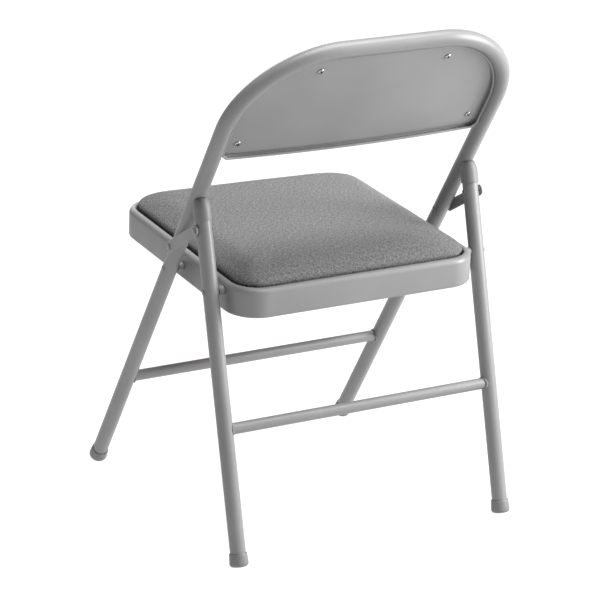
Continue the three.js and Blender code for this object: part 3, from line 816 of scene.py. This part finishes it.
def backrest_shell():
    t = PANEL_SHEET
    rings = [on_back(16.0, -t, share) for share in (0.2, 0.4, 0.6, 0.8, 0.93)]
    rings += [on_back(16.0, -t), on_back(8.0, -t), creased(7.3, -t, 1.1), creased(4.5, -t, 1.1)]
    fold = fillet([(4.0, -t, 0), (0.0, -t, 2.4), (0.0, 2.0, 0)], 6)
    rings += [on_back(i, y) for i, y in fold[1:]]
    rings += [flanged(i, reach) for i, reach in (
        (0.0, 0.6), (0.0, 1.0), (0.25, 2.0), (0.9, 2.9), (1.9, 3.4), (3.0, 3.2), (3.8, 2.5),
        (4.2, 1.6), (4.1, 1.0), (3.5, 0.85), (2.5, 0.74), (t, 0.6))]
    rings += [on_back(t, 1.4), on_back(t, 0.5), on_back(1.5, 0.1), on_back(2.0, 0.0)]
    rings += [on_back(4.6, 0.0), creased(4.9, 0.0, 1.1), creased(6.5, 0.0, 1.1)]
    rings += [on_back(6.9, 0.0), on_back(16.0, 0.0)]
    rings += [on_back(16.0, 0.0, share) for share in (0.93, 0.8, 0.6, 0.4, 0.2)]
    middle = np.array(rings[0]).mean(0)
    ends = [(0, panel_y(0) + y, middle[2]) for y in (-t, 0.0)]
    return loft(rings, first=ends[0], last=ends[1])


make("backrest_shell", *backrest_shell(), BACK, PAINT, "frame", "paint", ["backrest_panel"])

# ---- Screws ----

SCREW_PROFILE = [
    (0.0, 4.5), (1.7, 4.5), (2.0, 4.2), (2.0, 0.0), (4.7, 0.0), (4.75, -0.4), (4.45, -1.0),
    (3.8, -1.55), (2.8, -1.95), (1.4, -2.1), (0.0, -2.12),
]


def screw(name, place, body, node, turned):
    """A cross-recessed pan-head screw, its head below its own origin."""
    obj = make(name, *revolve(SCREW_PROFILE, 40), place, ZINC, body, "bright", [node])
    obj.data.materials.append(RECESS_PAINTED_SHADE)
    for angle in (turned, turned + 90):
        spin = place @ Matrix.Rotation(math.radians(angle), 4, "Z")
        blade = slab((-3.0, -0.8, -3.0), (3.0, 0.8, -0.6), spin)
        boolean(obj, blade)
    # The faces inside the cross recess take the near-black metal, as painted shade.
    for polygon in obj.data.polygons:
        painted_shade_mask = polygon.center.z > -1.2 * MM and polygon.center.xy.length < 3.1 * MM
        if painted_shade_mask and polygon.center.z < 0:
            polygon.material_index = 1


for number, (x, z) in enumerate(BACK_SCREWS, 1):
    lean = -math.atan(2 * PANEL_BOW * x / TUBE_IN**2)
    at = Matrix.Translation(Vector((x, panel_y(x) + 0.25, z)) * MM)
    turn = Matrix.Rotation(lean, 4, "Z") @ Matrix.Rotation(math.radians(90), 4, "X")
    node = "backrest_screw_%d" % number
    screw("back_screw_%d" % number, BACK @ at @ turn, "frame", node, 20 * number)
for number, (x, y) in enumerate(SEAT_SCREWS, 1):
    at = Matrix.Translation(Vector((x, y, LEDGE - PAN_SHEET - 0.2)) * MM)
    screw("board_screw_%d" % number, SEAT @ at, "seat", "seat_screw_%d" % number, 31 * number)

# ---- Padding ----


def resampled(outline, count):
    """The closed outline with evenly spaced points."""
    loop = np.vstack([outline, outline[:1]])
    steps = np.linalg.norm(np.diff(loop, axis=0), axis=1)
    along = np.concatenate([[0], np.cumsum(steps)])
    at = np.linspace(0, along[-1], count, endpoint=False)
    return np.stack([np.interp(at, along, loop[:, k]) for k in range(2)], 1)


def swell(obj, pinned, most):
    """Inflates a pad with the cloth solver, on an even remesh of it whose pinned points stay.

    The fine mesh then follows the remesh, and no point moves much further than most.
    """
    coarse = obj.copy()
    coarse.data = obj.data.copy()
    bpy.context.scene.collection.objects.link(coarse)
    remesh = coarse.modifiers.new("remesh", "REMESH")
    remesh.mode = "VOXEL"
    remesh.voxel_size = 5.5 * MM
    bake(coarse)
    start = points_of(coarse)
    group = coarse.vertex_groups.new(name="held")
    group.add([i for i, p in enumerate(start / MM) if pinned(p)], 1.0, "REPLACE")
    cloth = coarse.modifiers.new("cloth", "CLOTH")
    cloth.settings.vertex_group_mass = "held"
    cloth.settings.use_pressure = True
    cloth.settings.uniform_pressure_force = 4.0
    cloth.settings.effector_weights.gravity = 0
    cloth.settings.tension_stiffness = 8
    cloth.settings.compression_stiffness = 8
    cloth.settings.bending_stiffness = 0.3
    scene = bpy.context.scene
    for number in range(1, 21):
        scene.frame_set(number)
    graph = bpy.context.evaluated_depsgraph_get()
    moved = (points_of(coarse.evaluated_get(graph)) - start) / MM
    scene.frame_set(1)
    length = np.linalg.norm(moved, axis=1, keepdims=True)
    moved *= most * np.tanh(length / most) / np.maximum(length, 1e-6)
    tree = KDTree(len(start))
    for i, point in enumerate(start):
        tree.insert(point, i)
    tree.balance()
    points = points_of(obj)
    shift = np.zeros_like(points)
    for i, point in enumerate(points):
        near = tree.find_n(point, 6)
        weights = np.array([1 / (distance / MM + 1) for _, _, distance in near])
        shift[i] = weights @ moved[[index for _, index, _ in near]] / weights.sum()
    put_points(obj, points + shift * MM)
    old = coarse.data
    bpy.data.objects.remove(coarse)
    bpy.data.meshes.remove(old)


def points_of(obj):
    co = np.zeros(len(obj.data.vertices) * 3)
    obj.data.vertices.foreach_get("co", co)
    return co.reshape(-1, 3)


def put_points(obj, points):
    obj.data.vertices.foreach_set("co", np.asarray(points, np.float32).ravel())
    obj.data.update()


def subdivide(obj):
    modifier = obj.modifiers.new("finer", "SUBSURF")
    modifier.levels = modifier.render_levels = 1
    bake(obj)
    for polygon in obj.data.polygons:
        polygon.use_smooth = True


def lay_cloth(obj, flat, level):
    """Stores where each point lies on the cloth, flat on top and wrapped down the sides."""
    points = points_of(obj) / MM
    normals = np.zeros(len(points) * 3)
    obj.data.vertex_normals.foreach_get("vector", normals)
    normals = normals.reshape(-1, 3)
    side = normals[:, flat]
    drop = np.maximum(level(points), 0)[:, None]
    laid = np.zeros((len(points), 3))
    laid[:, :2] = points[:, flat] + side * drop
    attribute = obj.data.attributes.new("cloth", "FLOAT_VECTOR", "POINT")
    attribute.data.foreach_set("vector", laid.astype(np.float32).ravel())


# The seat pad's section, as (distance in from the pan's outside, height above its rim).
# Its right front corner is softer than the left, and its left front edge a little fuller.
PAD_SECTION = (
    (17.5, -9.5), (16.6, -7.0), (15.6, -4.0), (14.4, -1.8), (13.4, 0.0), (12.8, 1.8), (12.6, 3.6),
    (12.9, 5.4), (13.8, 7.2), (15.2, 8.9), (17.2, 10.6), (19.6, 12.2), (22.6, 13.8), (26.0, 15.3),
    (30.0, 17.3), (35.0, 19.4), (41.0, 21.4), (48.0, 22.9),
)
PAD_POINTS = 300


def across(start):
    """Quads that close a pad's ring of points from side to side."""
    end = start + PAD_POINTS
    half = PAD_POINTS // 2
    return [(start + i, start + i + 1, end - 2 - i, end - 1 - i) for i in range(half - 1)]


def pad_mesh(rings):
    points, faces = loft(rings)
    return points, faces + across(0) + across((len(rings) - 1) * PAD_POINTS)


def seat_pad():
    bottom = SEAT_BOARD_TOP + 0.4 - PAN_TOP
    low = resampled(seat_outline(19.0), PAD_POINTS)
    rings = [[(x, y, PAN_TOP + bottom) for x, y in shrunk(low, s)] for s in (0.2, 0.6, 0.9, 1.0)]
    for inset, height in PAD_SECTION:
        if height > bottom:
            firm = resampled(seat_outline(inset), PAD_POINTS)
            soft = resampled(seat_outline(inset, max(inset - 13, 0) * 1.9), PAD_POINTS)
            outline = firm + (soft - firm) * np.clip(0.5 - firm[:, :1] / 160, 0.1, 1)
            rings.append([(x, y, PAN_TOP + height) for x, y in outline])
    top = np.array(rings[-1])
    for share in (0.96, 0.91, 0.85, 0.78, 0.7, 0.61, 0.52, 0.43, 0.34, 0.25, 0.16, 0.08):
        rings.append(shrunk(top, share) + (0, 0, 2.4 * (1 - share**1.6)))
    rings = np.array(rings, float)
    x, y, z = rings[..., 0], rings[..., 1], rings[..., 2]
    front = np.clip((20 - y) / 200, 0, 1) * np.clip((z - PAN_TOP) / 15, 0, 1)
    z += 2.0 * front * np.clip(x / 130, -1, 1)
    right = np.clip(-x / 150, 0, 1) * np.clip((z - PAN_TOP) / 8, 0, 1)
    z -= 0.7 * right
    obj = make("seat_pad", *pad_mesh(rings), SEAT, FABRIC, "seat", "fabric", ["seat_cushion"])
    swell(obj, lambda p: p[2] < PAN_TOP, 1.2)
    points = points_of(obj)
    points[:, 2] = np.maximum(points[:, 2], (PAN_TOP + bottom) * MM)
    put_points(obj, points)
    subdivide(obj)
    pucker(obj)
    lay_cloth(obj, [0, 1], lambda p: PAN_TOP + 8 - p[:, 2])


def pucker(obj):
    """Gathers the cover a little at the seat's corners, low on its sides."""
    points = points_of(obj) / MM
    middle = (PAN_REAR + PAN_FRONT) / 2
    x0, y0 = PAN_HALF - PAN_CORNER, (PAN_REAR - PAN_FRONT) / 2 - PAN_CORNER
    dx = np.maximum(np.abs(points[:, 0]) - x0, 0)
    dy = np.maximum(np.abs(points[:, 1] - middle) - y0, 0)
    reach = np.hypot(dx, dy)
    angle = np.arctan2(dy, dx)
    low = np.clip((PAN_TOP + 7 - points[:, 2]) / 9, 0, 1) * np.clip((reach - 22) / 10, 0, 1)
    corner = np.clip(np.sin(2 * angle), 0, 1)
    fold = 0.35 * np.sin(angle * 34) + 0.2 * np.sin(angle * 57 + 1.3)
    amount = fold * low * corner
    out = np.stack([np.cos(angle) * np.sign(points[:, 0]),
                    np.sin(angle) * np.sign(points[:, 1] - middle)], 1)
    points[:, :2] += out * amount[:, None]
    put_points(obj, points * MM)


# The back pad's section, as (distance in from its side, depth in front of its board).
BACK_PAD_SECTION = (
    (5.0, 0.0), (1.8, 0.6), (0.4, 3.0), (0.0, 6.0), (0.2, 9.0), (1.0, 12.0), (2.4, 14.6),
    (4.6, 16.9), (7.6, 18.6), (11.5, 19.7), (16.0, 20.4), (22.0, 20.9),
)


def back_pad():
    rear = BACK_BOARD_FRONT - 0.4

    def ring(inset, depth, share=1.0):
        outline = resampled(back_outline(BACK_PAD_INSET + inset), PAD_POINTS)
        if share < 1:
            outline = shrunk(outline, share)
        return [(x, panel_y(x) + rear - depth, z) for x, z in outline]

    rings = [ring(6, 0, share) for share in (0.25, 0.6, 0.9)]
    rings += [ring(inset, depth) for inset, depth in BACK_PAD_SECTION]
    last, front = BACK_PAD_SECTION[-1]
    for share in (0.93, 0.85, 0.76, 0.66, 0.55, 0.44, 0.33, 0.22, 0.11):
        rings.append(ring(last, front + 1.8 * (1 - share**1.6), share))
    obj = make("back_pad", *pad_mesh(rings), BACK, FABRIC, "frame", "fabric", ["backrest_pad"])
    swell(obj, lambda p: p[1] > panel_y(p[0]) + rear - 5, 2.0)
    points = points_of(obj) / MM
    points[:, 1] = np.minimum(points[:, 1], panel_y(points[:, 0]) + rear)
    put_points(obj, points * MM)
    subdivide(obj)
    lay_cloth(obj, [0, 2], lambda p: p[:, 1] - panel_y(0) - rear + 14)


seat_pad()
back_pad()

for node, obj in frame["nodes"].items():
    if not obj.hide_render:
        obj.data.materials.clear()
        obj.data.materials.append(BOARD)

# ---- Floor, light and camera ----

floor_mesh = bpy.data.meshes.new("floor")
REACH = 14
floor_mesh.from_pydata(
    [(-REACH, -REACH, 0), (REACH, -REACH, 0), (REACH, REACH, 0), (-REACH, REACH, 0)],
    [], [(0, 1, 2, 3)],
)
floor = bpy.data.objects.new("floor", floor_mesh)
floor_mesh.materials.append(floor_material())
bpy.context.scene.collection.objects.link(floor)

scene = bpy.context.scene
world = bpy.data.worlds.new("studio")
scene.world = world
world.use_nodes = True
world.node_tree.nodes["Background"].inputs["Color"].default_value = (1, 1, 1, 1)
world.node_tree.nodes["Background"].inputs["Strength"].default_value = 0.12


def area_light(name, at, aim, size, power):
    light = bpy.data.lights.new(name, "AREA")
    light.shape = "RECTANGLE"
    light.size, light.size_y = size
    light.energy = power
    obj = bpy.data.objects.new(name, light)
    scene.collection.objects.link(obj)
    obj.location = at
    obj.rotation_mode = "QUATERNION"
    obj.rotation_quaternion = (Vector(aim) - Vector(at)).to_track_quat("-Z", "Y")
    return obj


area_light("key", (-1.55, 1.05, 0.98), (0, 0, 0.5), (0.8, 1.2), 62)
area_light("top", (-0.4, 0.6, 3.2), (0, 0, 0.3), (2.2, 2.2), 150)
area_light("front", (-0.5, -3.2, 1.7), (0, 0, 0.45), (1.6, 1.6), 26)

camera_data = bpy.data.cameras.new("camera")
camera = bpy.data.objects.new("camera", camera_data)
scene.collection.objects.link(camera)
camera_data.lens = 162.7
camera_data.shift_x = -0.0012
camera_data.sensor_width = 36
CAMERA_AT = Vector((1.87433, 3.50392, 1.55990))
CAMERA_AIM = Vector((0, -0.00008, 0.31187))
camera.location = CAMERA_AT
camera.rotation_mode = "QUATERNION"
camera.rotation_quaternion = (CAMERA_AIM - CAMERA_AT).to_track_quat("-Z", "Y")
scene.camera = camera
scene.view_settings.view_transform = "Standard"
